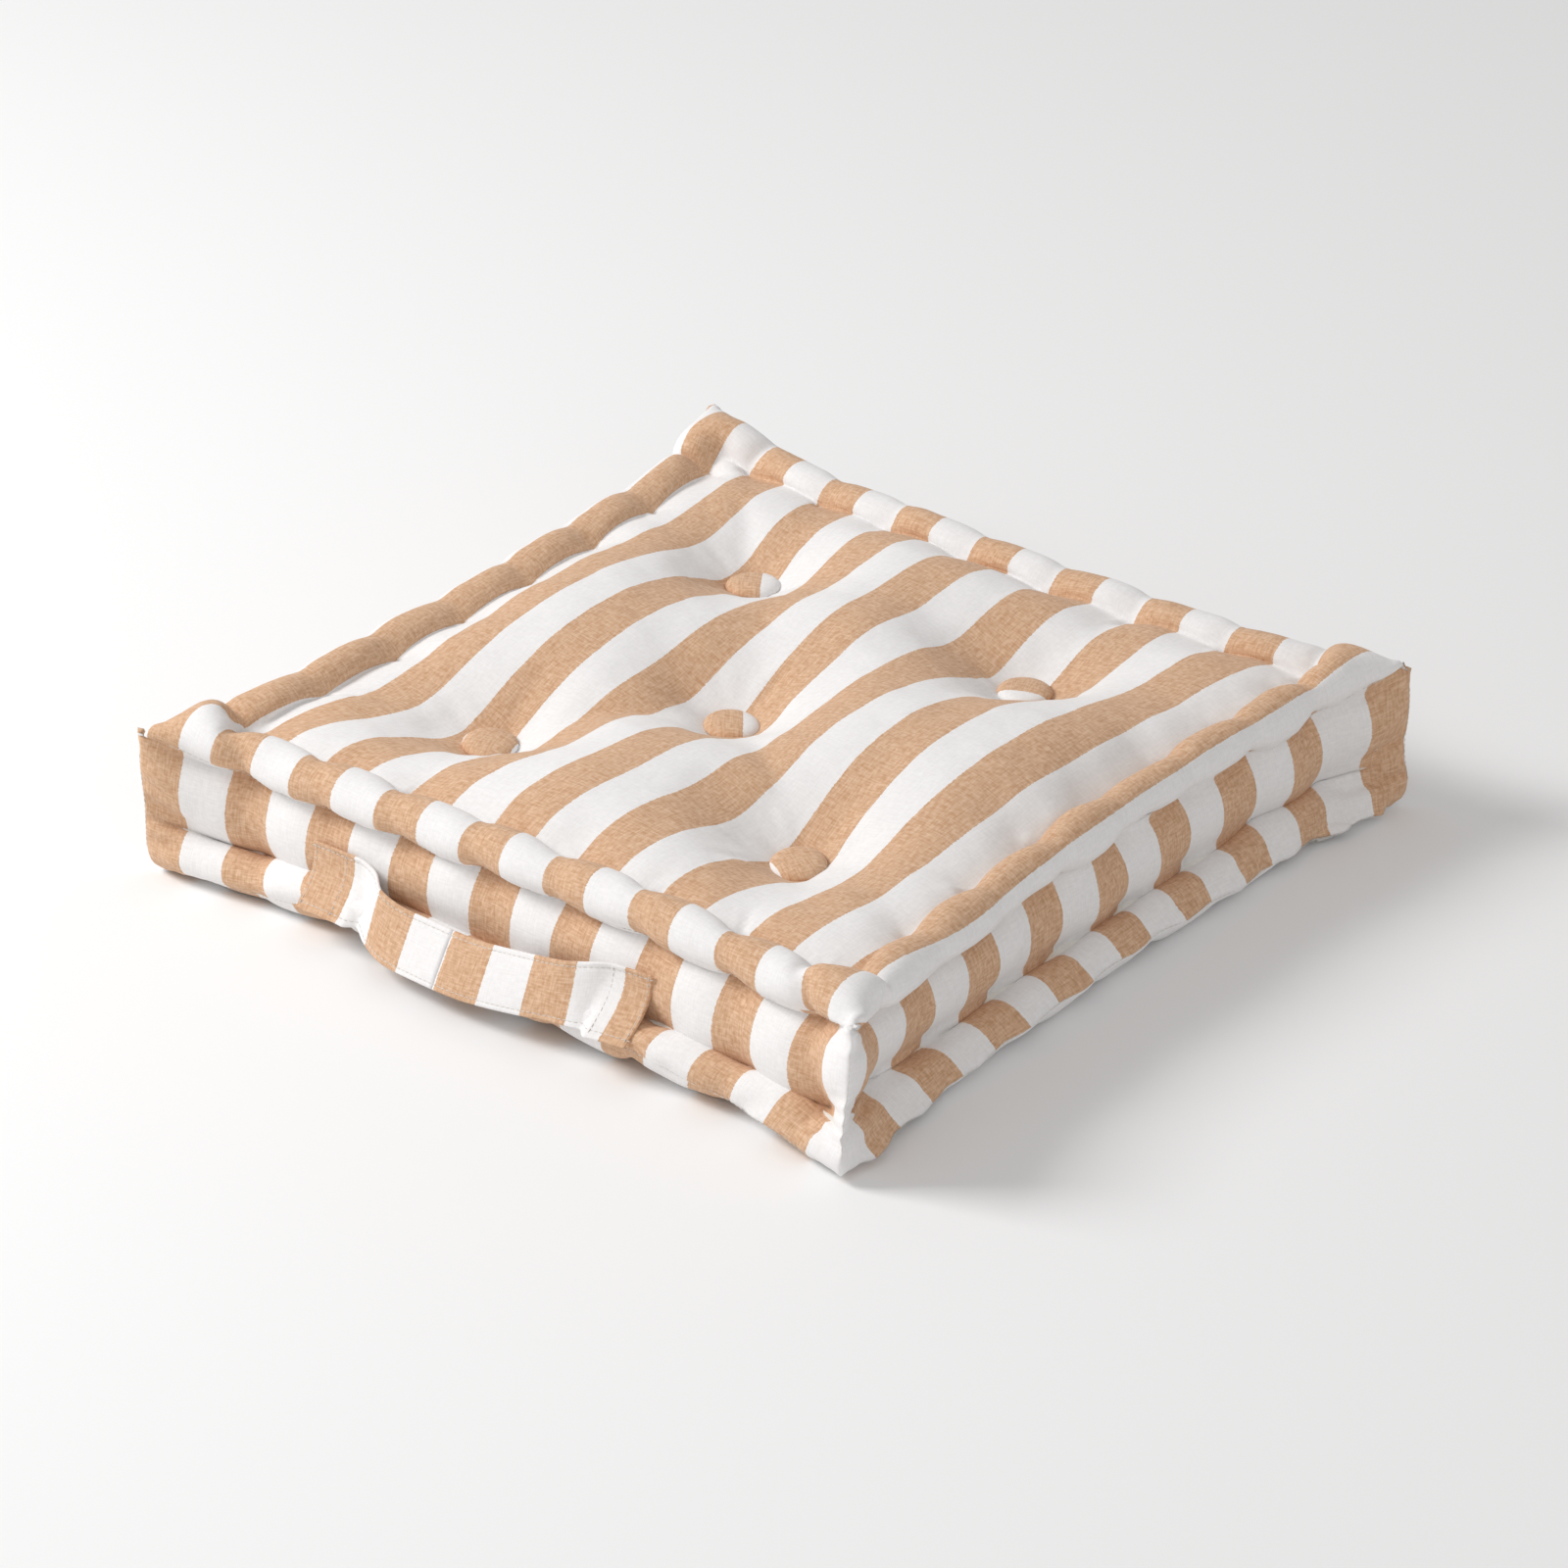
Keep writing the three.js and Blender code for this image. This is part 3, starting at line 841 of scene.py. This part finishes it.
plain = mesh_from("filling", shape, quads)
packed = shape - read_all(plain.vertex_normals, "vector") * cloth_and_air
inwards = -packed[:, :2] / np.linalg.norm(packed[:, :2], axis=1)[:, None]
in_corner = np.clip(1 - corner_depth / 13, 0, 1) * corner_emptiness
at_foot = (edge_depth < 4) & (lattice[:, 2] > lower_pinch_row)
in_foot = np.where(at_foot, foot_emptiness, 0.0)
packed[:, :2] += inwards * np.maximum(in_corner, in_foot)[:, None]
packed[:, 2] += np.where(on_top, -0.3, 0.0) * in_corner
np.maximum(packed[:, 2], cloth_and_air, out=packed[:, 2])
plain.vertices.foreach_set("co", packed.ravel())
plain.update()
filling = new_piece("filling", plain, fibre)
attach(filling, "cushion")
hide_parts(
    "filling_core",
    *[f"{edge}_roll_wadding_{side}" for edge in ("top", "bottom") for side in sides],
)


# Seam stitching. White cotton thread, machine sewn in the groove of every seam of the cover, and
# one short hand stitch of heavier thread at the bottom of each dimple of the rolls.
def thread_material(name, colour, twist):
    """Twisted thread, with painted shade in the lay between its plies."""
    made, tree, surface = new_material(name, 0.7)
    place = node(tree, "ShaderNodeTexCoord").outputs["Object"]
    ply = node(
        tree, "ShaderNodeTexWave", (("Vector", place), ("Scale", twist), ("Distortion", 3.0)),
        bands_direction="DIAGONAL",
    )
    # painted shade: the thread colour is darkened in the lay between the plies
    shade_in_lay = tuple(0.72 * c for c in colour[:3]) + (1,)
    tone = blend(tree, ply.outputs["Fac"], shade_in_lay, colour)
    tree.links.new(tone, surface.inputs["Base Color"])
    lay = node(tree, "ShaderNodeBump", (("Height", ply.outputs["Fac"]), ("Distance", 0.0001)))
    tree.links.new(lay.outputs[0], surface.inputs["Normal"])
    surface.inputs["Sheen Weight"].default_value = 0.2
    return made


sewing_thread = thread_material("sewing thread", (0.88, 0.84, 0.78, 1), 900.0)


def stitch_line_tree(material):
    """Lays one plump stitch after another along the edges of a line."""
    tree = new_group(
        "stitch line", "GeometryNodeTree", ("Geometry", "INPUT", "Geometry"), ("Pitch", "INPUT", "Float"),
        ("Stitch length", "INPUT", "Float"), ("Thread radius", "INPUT", "Float"),
        ("Slip", "INPUT", "Float"), ("Geometry", "OUTPUT", "Geometry"),
    )
    given = tree.nodes.new("NodeGroupInput")
    curve = node(tree, "GeometryNodeMeshToCurve", (("Mesh", given.outputs["Geometry"]),))
    spaced = node(
        tree, "GeometryNodeResampleCurve",
        (("Curve", curve.outputs[0]), ("Length", given.outputs["Pitch"])), mode="LENGTH",
    )
    tangent = node(tree, "GeometryNodeInputTangent")
    turned = node(tree, "FunctionNodeAlignRotationToVector", (("Vector", tangent.outputs[0]),), axis="Z")
    grain = node(
        tree, "GeometryNodeMeshUVSphere", (("Segments", 6), ("Rings", 5), ("Radius", 1.0))
    )
    half = maths(tree, "MULTIPLY", given.outputs["Stitch length"], 0.5)
    size = node(
        tree, "ShaderNodeCombineXYZ",
        ((0, given.outputs["Thread radius"]), (1, given.outputs["Thread radius"]), (2, half)),
    )
    laid = node(
        tree, "GeometryNodeInstanceOnPoints",
        (("Points", spaced.outputs[0]), ("Instance", grain.outputs[0]), ("Rotation", turned.outputs[0]),
         ("Scale", size.outputs[0])),
    )
    random = node(tree, "FunctionNodeRandomValue", (("Seed", 11),), data_type="FLOAT_VECTOR")
    random.inputs[0].default_value = (-1, -1, -1)
    random.inputs[1].default_value = (1, 1, 1)
    nudge = node(
        tree, "ShaderNodeVectorMath", ((0, random.outputs[0]), ("Scale", given.outputs["Slip"])),
        operation="SCALE",
    )
    slipped = node(
        tree, "GeometryNodeTranslateInstances",
        (("Instances", laid.outputs[0]), ("Translation", nudge.outputs[0]), ("Local Space", False)),
    )
    real = node(tree, "GeometryNodeRealizeInstances", (("Geometry", slipped.outputs[0]),))
    shown = node(
        tree, "GeometryNodeSetMaterial", (("Geometry", real.outputs[0]), ("Material", material))
    )
    out = tree.nodes.new("NodeGroupOutput")
    tree.links.new(shown.outputs[0], out.inputs[0])
    return tree


stitch_line = stitch_line_tree(sewing_thread)


def sew(name, lines, pitch, stitch_length, thread_radius, slip=0.00005):
    """A piece of stitches along each line of points."""
    points, joined = [], []
    for line in lines:
        first = len(points)
        points += [tuple(p) for p in line]
        joined += [(n, n + 1) for n in range(first, len(points) - 1)]
    mesh = bpy.data.meshes.new(name)
    mesh.from_pydata(points, joined, [])
    piece = new_piece(name, mesh)
    rows = piece.modifiers.new("stitches", "NODES")
    rows.node_group = stitch_line
    given = {"Pitch": pitch, "Stitch length": stitch_length, "Thread radius": thread_radius, "Slip": slip}
    for item in stitch_line.interface.items_tree:
        if item.in_out == "INPUT" and item.name in given:
            rows[item.identifier] = given[item.name]
    finished(piece)
    piece.data.polygons.foreach_set("use_smooth", [True] * len(piece.data.polygons))
    return piece


facing = read_all(cover.data.vertex_normals, "vector")


def on_cover(line, above):
    """The line's points just above the cloth, with the cloth's small crumples smoothed out."""
    points = fine[line] + facing[line] * above
    for n in range(2):
        points[1:-1] = 0.5 * points[1:-1] + 0.25 * (points[:-2] + points[2:])
    return points


above_seam = 0.00012
seam_lines = [
    on_cover(line[n * cells_across + 5:(n + 1) * cells_across - 4], above_seam)
    for line in (top_seam, bottom_seam) for n in range(4)
]
seam_lines += [on_cover(line[4:-3], above_seam) for line in corner_seams]
seam_stitches = sew(
    "seam_stitches", seam_lines, pitch=0.0032, stitch_length=0.0026, thread_radius=0.00020
)
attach(seam_stitches, "cushion")

half_stitch = 0.0006
dimples = []
for row_points in stitch_points:
    for spot, p in enumerate(row_points[:3]):
        along_x = abs(fine[p][1]) > abs(fine[p][0])
        along = np.array([1.0, 0, 0]) if along_x else np.array([0, 1.0, 0])
        centre = fine[p] + facing[p] * 0.0003
        dimples.append([centre - along * half_stitch, centre + along * half_stitch])
roll_stitches = sew(
    "roll_stitches", dimples, pitch=0.0011, stitch_length=0.0052, thread_radius=0.00042
)
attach(roll_stitches, "cushion")


# Tuft buttons. Pressed metal forms covered with scraps of the same striped cotton, gathered under
# the rim, each tied through the cushion to its partner below with waxed twine.
button_profile = (  # radius and height of the covered button, from the middle of its face down
    (0.0030, 0.00705), (0.0060, 0.00690), (0.0088, 0.00655), (0.0110, 0.00600), (0.0127, 0.00520),
    (0.0137, 0.00430), (0.01415, 0.00340), (0.0142, 0.00260), (0.0139, 0.00185), (0.0132, 0.00125),
    (0.0120, 0.00080), (0.0100, 0.00050), (0.0060, 0.00035), (0.0025, 0.00030),
)
button_steps = 60
button_pleats = 15
# the turn of the stripes on each button's face, and how far the nearest edge is from its middle
button_stripes = {
    "front_left": (0.3, 0.013), "front_right": (1.1, 0.012), "centre": (0.676, 0.0205),
    "back_left": (0.60, 0.0215), "back_right": (2.0, 0.006),
}
for name, (x, y) in tufts.items():
    for face in ("top", "bottom"):
        low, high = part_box(f"{face}_button_cover_{name}")
        upright = 1 if face == "top" else -1
        base = low.z if face == "top" else high.z
        tilt = Matrix.Rotation(hand.uniform(-0.09, 0.09), 4, "X")
        tilt @= Matrix.Rotation(hand.uniform(-0.09, 0.09), 4, "Y")
        if face == "bottom":
            tilt = Matrix.Identity(4)
        spin, edge = button_stripes[name]
        made = bmesh.new()
        cloth_map = made.loops.layers.uv.new("cloth")
        across = {}
        rings = []
        for n, (radius, height) in enumerate(button_profile):
            ring = []
            for step in range(button_steps):
                angle = 2 * math.pi * step / button_steps
                gathered = float(ease(0.0034, 0.0010, height)) if n > 5 else 0.0
                wide = radius * (1 + 0.018 * gathered * math.cos(button_pleats * angle))
                spot = Vector((wide * math.cos(angle), wide * math.sin(angle), height * upright))
                vertex = made.verts.new(tilt @ spot + Vector((x, y, base)))
                reach = radius if n < 8 else 0.0284 - radius
                across[vertex] = (reach * math.cos(angle - spin) + edge, reach * math.sin(angle - spin))
                ring.append(vertex)
            rings.append(ring)
        for upper, lower in zip(rings, rings[1:]):
            for step in range(button_steps):
                after = (step + 1) % button_steps
                made.faces.new((upper[step], lower[step], lower[after], upper[after]))
        made.faces.new(rings[0])
        made.faces.new(list(reversed(rings[-1])))
        for made_face in made.faces:
            for loop in made_face.loops:
                loop[cloth_map].uv = across[loop.vert]
        bmesh.ops.recalc_face_normals(made, faces=made.faces)
        mesh = bpy.data.meshes.new(f"{face}_button_{name}")
        made.to_mesh(mesh)
        made.free()
        button = new_piece(mesh.name, mesh, striped_cotton)
        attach(button, "cushion")
        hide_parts(f"{face}_button_cover_{name}")

button_metal, tree, surface = new_material("pressed metal", 0.4)
surface.inputs["Base Color"].default_value = (0.55, 0.56, 0.58, 1)
surface.inputs["Metallic"].default_value = 1.0
drawn = node(
    tree, "ShaderNodeTexNoise",
    (("Vector", node(tree, "ShaderNodeTexCoord").outputs["Object"]), ("Scale", 700.0), ("Detail", 3.0)),
)
dull = node(tree, "ShaderNodeMapRange", ((0, drawn.outputs["Fac"]), (3, 0.28), (4, 0.46)))
tree.links.new(dull.outputs[0], surface.inputs["Roughness"])
waxed_twine = thread_material("waxed twine", (0.80, 0.74, 0.62, 1), 500.0)
for name in tufts:
    for kind, material in (
        ("top_button_form", button_metal), ("bottom_button_form", button_metal),
        ("tufting_twine", waxed_twine),
    ):
        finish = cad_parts[f"{kind}_{name}"].data.materials
        finish.clear()
        finish.append(material)


# Carry handle. A band of the striped cotton folded to four layers and topstitched along both
# edges; each end is sewn flat on the front of the cushion, and the slack between them hangs out.
strap_width = 0.031
band_half_thickness = (  # across half the band, from its middle to the folded edge
    (0.0, 0.00110), (0.0050, 0.00108), (0.0100, 0.00100), (0.0121, 0.00082), (0.0128, 0.00060),
    (0.0135, 0.00084), (0.0146, 0.00092), (0.0152, 0.00066), (0.0155, 0.0),
)
topstitch_at = 0.0128
on_topstitch, on_band = 0.00072, 0.00112  # how far out the thread lies at each
sewn_gap = 0.0012
hanging_gap = 0.0022
# middle of the band: x, y, z, lean of its lower edge, and how far it is sewn down (1) or free (0)
band_route = (
    (-0.1260, -0.212, 0.0335, 0.00, 1.0),
    (-0.1150, -0.212, 0.0335, 0.00, 1.0),
    (-0.1045, -0.212, 0.0333, 0.00, 1.0),
    (-0.0960, -0.213, 0.0330, 0.00, 1.0),
    (-0.0875, -0.2150, 0.0315, 0.06, 0.3),
    (-0.0785, -0.2200, 0.0275, 0.26, 0.0),
    (-0.0640, -0.2245, 0.0252, 0.44, 0.0),
    (-0.0420, -0.2262, 0.0250, 0.54, 0.0),
    (-0.0120, -0.2270, 0.0256, 0.56, 0.0),
    (0.0180, -0.2255, 0.0288, 0.50, 0.0),
    (0.0400, -0.2235, 0.0322, 0.32, 0.0),
    (0.0560, -0.2190, 0.0345, 0.12, 0.3),
    (0.0665, -0.212, 0.0358, 0.00, 1.0),
    (0.0780, -0.212, 0.0362, 0.00, 1.0),
    (0.0890, -0.212, 0.0363, 0.00, 1.0),
)
stations_a_span = 10
joint_station = 75
cover_faces = [list(face.vertices) for face in cover.data.polygons]
cover_tree = BVHTree.FromPolygons(fine.tolist(), cover_faces)

bulge_heights = np.linspace(0.024, 0.052, 8)
tab_fronts = []
for first, last in ((-0.126, -0.098), (0.060, 0.089)):
    spots = [(x, z) for x in np.linspace(first, last, 8) for z in bulge_heights]
    fronts = [cover_tree.ray_cast(Vector((x, -0.4, z)), Vector((0, 1, 0)))[0].y for x, z in spots]
    terms = np.array([(1, x, z, z * z) for x, z in spots])
    curve = np.linalg.lstsq(terms, np.array(fronts), rcond=None)[0]
    tab_fronts.append((curve, 0.5 * max(terms @ curve - fronts)))


def cover_front(x, z):
    """How far forward the side's bulge stands under a handle tab, without its small creases."""
    curve, proud = tab_fronts[0 if x < 0 else 1]
    return curve @ (1, x, z, z * z) - proud


band_points = np.array(band_route)
for place in band_points:
    if place[4] > 0:
        place[1] = cover_front(place[0], place[2]) - sewn_gap - 0.0014 * (1 - place[4])


def along_route(station):
    """The route through its points on one smooth curve."""
    n = min(station // stations_a_span, len(band_points) - 2)
    t = station / stations_a_span - n
    before, here, there, after = (
        band_points[min(max(k, 0), len(band_points) - 1)] for k in (n - 1, n, n + 1, n + 2)
    )
    return 0.5 * (
        2 * here + (there - before) * t + (2 * before - 5 * here + 4 * there - after) * t ** 2
        + (3 * here - before - 3 * there + after) * t ** 3
    )


stations = (len(band_route) - 1) * stations_a_span + 1
route = np.array([along_route(n) for n in range(stations)])
in_the_way = np.zeros((stations, 2))  # at the upper and lower half of the band's free part
for station, (x, y, z, lean, sewn) in enumerate(route):
    if sewn < 0.5:
        for across in np.linspace(-0.5, 0.5, 7) * strap_width:
            spot = Vector((x, -0.4, max(z + across * math.cos(lean), 0.001)))
            front = cover_tree.ray_cast(spot, Vector((0, 1, 0)))[0].y
            half = 0 if across > 0 else 1
            too_deep = y + across * math.sin(lean) + hanging_gap - front
            in_the_way[station, half] = max(in_the_way[station, half], too_deep)
for n in range(12):
    beside = 0.5 * (in_the_way[:-2] + in_the_way[2:])
    in_the_way[1:-1] = np.maximum(in_the_way[1:-1], beside)
for half in (0, 1):
    padded = np.pad(in_the_way[:, half], 4, mode="edge")
    in_the_way[:, half] = np.convolve(padded, np.ones(9) / 9, mode="valid")
unsewn = 1 - np.clip(route[:, 4], 0, 1)
route[:, 1] -= in_the_way.mean(axis=1) * unsewn
route[:, 3] += (in_the_way[:, 1] - in_the_way[:, 0]) / (0.7 * strap_width) * unsewn
tangents = np.gradient(route[:, :3], axis=0)
tangents /= np.linalg.norm(tangents, axis=1)[:, None]


def band_point(station, across, out):
    """A place on the band: across from its middle, up, and out from the middle of its thickness."""
    x, y, z, lean, sewn = route[station]
    tangent = tangents[station]
    outwards = np.cross(tangent, (0, 0, 1))
    outwards /= np.linalg.norm(outwards)
    up = np.array([0, 0, 1]) * math.cos(lean) - outwards * math.sin(lean)
    thick = np.cross(tangent, up)
    free_place = np.array([x, y, z]) + across * up + out * thick
    sewn = min(max(sewn, 0.0), 1.0)
    if sewn == 0.0:
        return free_place
    high = z + across
    flat_place = np.array([x, cover_front(x, high) - sewn_gap - out, high])
    return mix(free_place, flat_place, sewn)


lengths = np.concatenate([[0], np.cumsum(np.linalg.norm(np.diff(route[:, :3], axis=0), axis=1))])
section = [(-across, out) for across, out in reversed(band_half_thickness[1:])]
section += band_half_thickness
outline = section + [(across, -out) for across, out in section[-2:0:-1]]
band_halves = {
    "left": (0, joint_station, (-0.1045, -0.215, 0.032), (-0.060, -0.215, 0.032)),
    "right": (joint_station, stations - 1, (0.0665, -0.215, 0.032), (0.030, -0.215, 0.032)),
}
for half, (first, last, still, swung) in band_halves.items():
    points, cloth_places, faces = [], [], []
    for station in range(first, last + 1):
        for across, out in outline:
            points.append(band_point(station, across, out))
            cloth_places.append((lengths[station], across))
    size = len(outline)
    for n in range(last - first):
        for k in range(size):
            after = (k + 1) % size
            faces.append((n * size + k, n * size + after, (n + 1) * size + after, (n + 1) * size + k))
    faces.append(tuple(range(size)))
    faces.append(tuple(reversed(range(len(points) - size, len(points)))))
    mesh = mesh_from(f"handle_band_{half}", points, faces)
    cloth_map = mesh.uv_layers.new(name="cloth")
    for loop in mesh.loops:
        cloth_map.data[loop.index].uv = cloth_places[loop.vertex_index]
    turned_right = bmesh.new()
    turned_right.from_mesh(mesh)
    bmesh.ops.recalc_face_normals(turned_right, faces=turned_right.faces)
    turned_right.to_mesh(mesh)
    turned_right.free()
    band = new_piece(f"handle_band_{half}", mesh, striped_cotton)
    for face in band.data.polygons:
        face.use_smooth = len(face.vertices) == 4
    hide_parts(f"handle_end_{half}", "handle_strap")
    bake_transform(band)
    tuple(still)
    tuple(swung)

    lines = [
        [band_point(station, way * topstitch_at, on_topstitch) for station in range(first, last + 1)]
        for way in (-1, 1)
    ]
    end_stations = (2, 19) if half == "left" else (stations - 3, stations - 20)
    for station in end_stations:
        lines.append([
            band_point(station, across, on_band) for across in np.linspace(-1, 1, 12) * topstitch_at
        ])
    stitches = sew(
        f"handle_stitches_{half}", lines, pitch=0.0030, stitch_length=0.0024, thread_radius=0.00026
    )
    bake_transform(stitches)
    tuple(still)
    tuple(swung)


# Stage. A plain pale floor, one big soft lamp from the camera's left and above, a weaker one from
# the right to lift the shaded side, and even light from all round.
floor_reach = 6
floor_corners = [(x * floor_reach, y * floor_reach, 0) for x, y in ((-1, -1), (1, -1), (1, 1), (-1, 1))]
floor_mesh = mesh_from("floor", floor_corners, [(0, 1, 2, 3)])
floor_finish, tree, surface = new_material("pale floor", 0.9)
surface.inputs["Base Color"].default_value = (0.92, 0.92, 0.92, 1)
floor_mesh.materials.append(floor_finish)
floor = bpy.data.objects.new("floor", floor_mesh)
bpy.context.scene.collection.objects.link(floor)


def soft_lamp(name, place, size, power):
    """A square lamp turned to the cushion."""
    lamp_data = bpy.data.lights.new(name, "AREA")
    lamp_data.size = size
    lamp_data.energy = power
    lamp = bpy.data.objects.new(name, lamp_data)
    lamp.location = place
    lamp.rotation_euler = (Vector((0, 0, 0.05)) - Vector(place)).to_track_quat("-Z", "Y").to_euler()
    bpy.context.scene.collection.objects.link(lamp)


soft_lamp("key lamp", (-1.7, -1.1, 1.7), 1.0, 47)
soft_lamp("fill lamp", (1.8, -1.6, 1.5), 1.8, 7)
room = bpy.data.worlds.new("room")
room.use_nodes = True
room.node_tree.nodes["Background"].inputs["Color"].default_value = (1.0, 0.99, 0.985, 1)
room.node_tree.nodes["Background"].inputs["Strength"].default_value = 0.50
bpy.context.scene.world = room
bpy.context.scene.view_settings.view_transform = "Standard"
